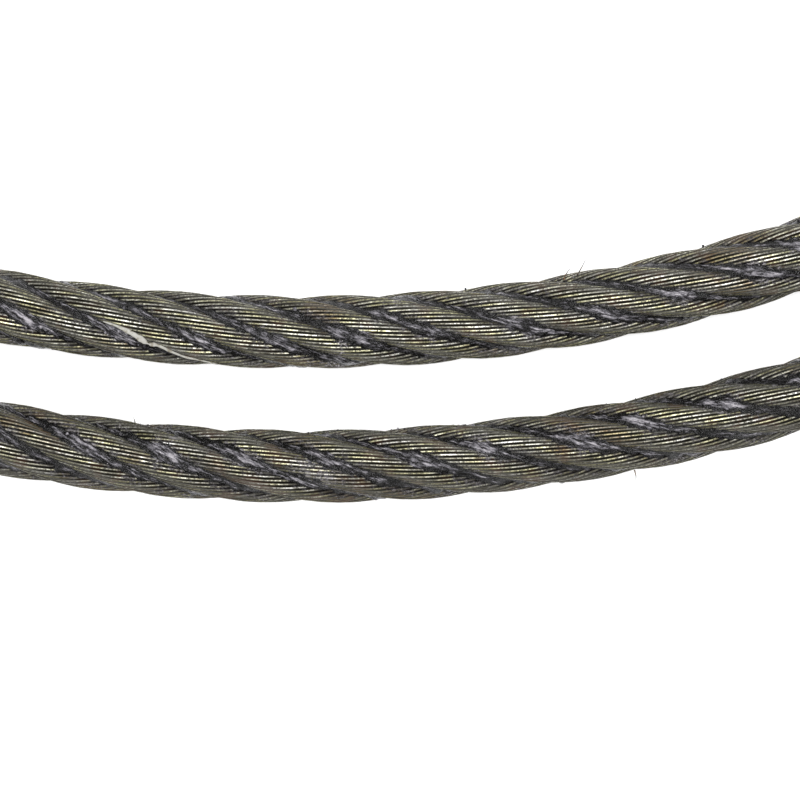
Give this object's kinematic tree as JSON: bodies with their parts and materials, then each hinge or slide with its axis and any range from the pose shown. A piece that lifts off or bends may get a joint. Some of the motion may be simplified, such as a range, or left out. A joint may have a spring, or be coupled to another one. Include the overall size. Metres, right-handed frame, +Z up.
{
  "type": "wire rope sling with thimble eyes",
  "caption": "Greased steel wire rope sling, folded double and tied, each end turned round a grooved steel thimble and held in a pressed aluminium ferrule.",
  "frame": {"origin": "on the floor that the sling lies on, under the middle of its whole outline", "axes": "+X from the fold towards the two thimble eyes, +Y to the side of eye A, +Z up"},
  "size_m": [0.6726, 0.2076, 0.036],
  "materials": {
    "rope_wire": "drawn steel wire under a film of old grease",
    "rope_core": "steel core packed with dark grease",
    "grease": "dark wet grease in the valleys between the strands",
    "thimble": "hot-dip galvanised",
    "ferrule": "pressed aluminium",
    "tie": "black annealed binding wire"
  },
  "bodies": {
    "root": {"strand_1": "rope_wire", "strand_2": "rope_wire", "strand_3": "rope_wire", "strand_4": "rope_wire", "strand_5": "rope_wire", "strand_6": "rope_wire", "core_centre": "rope_core", "core_strand_1": "rope_core", "core_strand_2": "rope_core", "core_strand_3": "rope_core", "core_strand_4": "rope_core", "core_strand_5": "rope_core", "core_strand_6": "rope_core", "ferrule_a": "ferrule", "ferrule_b": "ferrule", "thimble_a": "thimble", "thimble_b": "thimble", "tie_wire": "tie"}
  },
  "joints": []
}
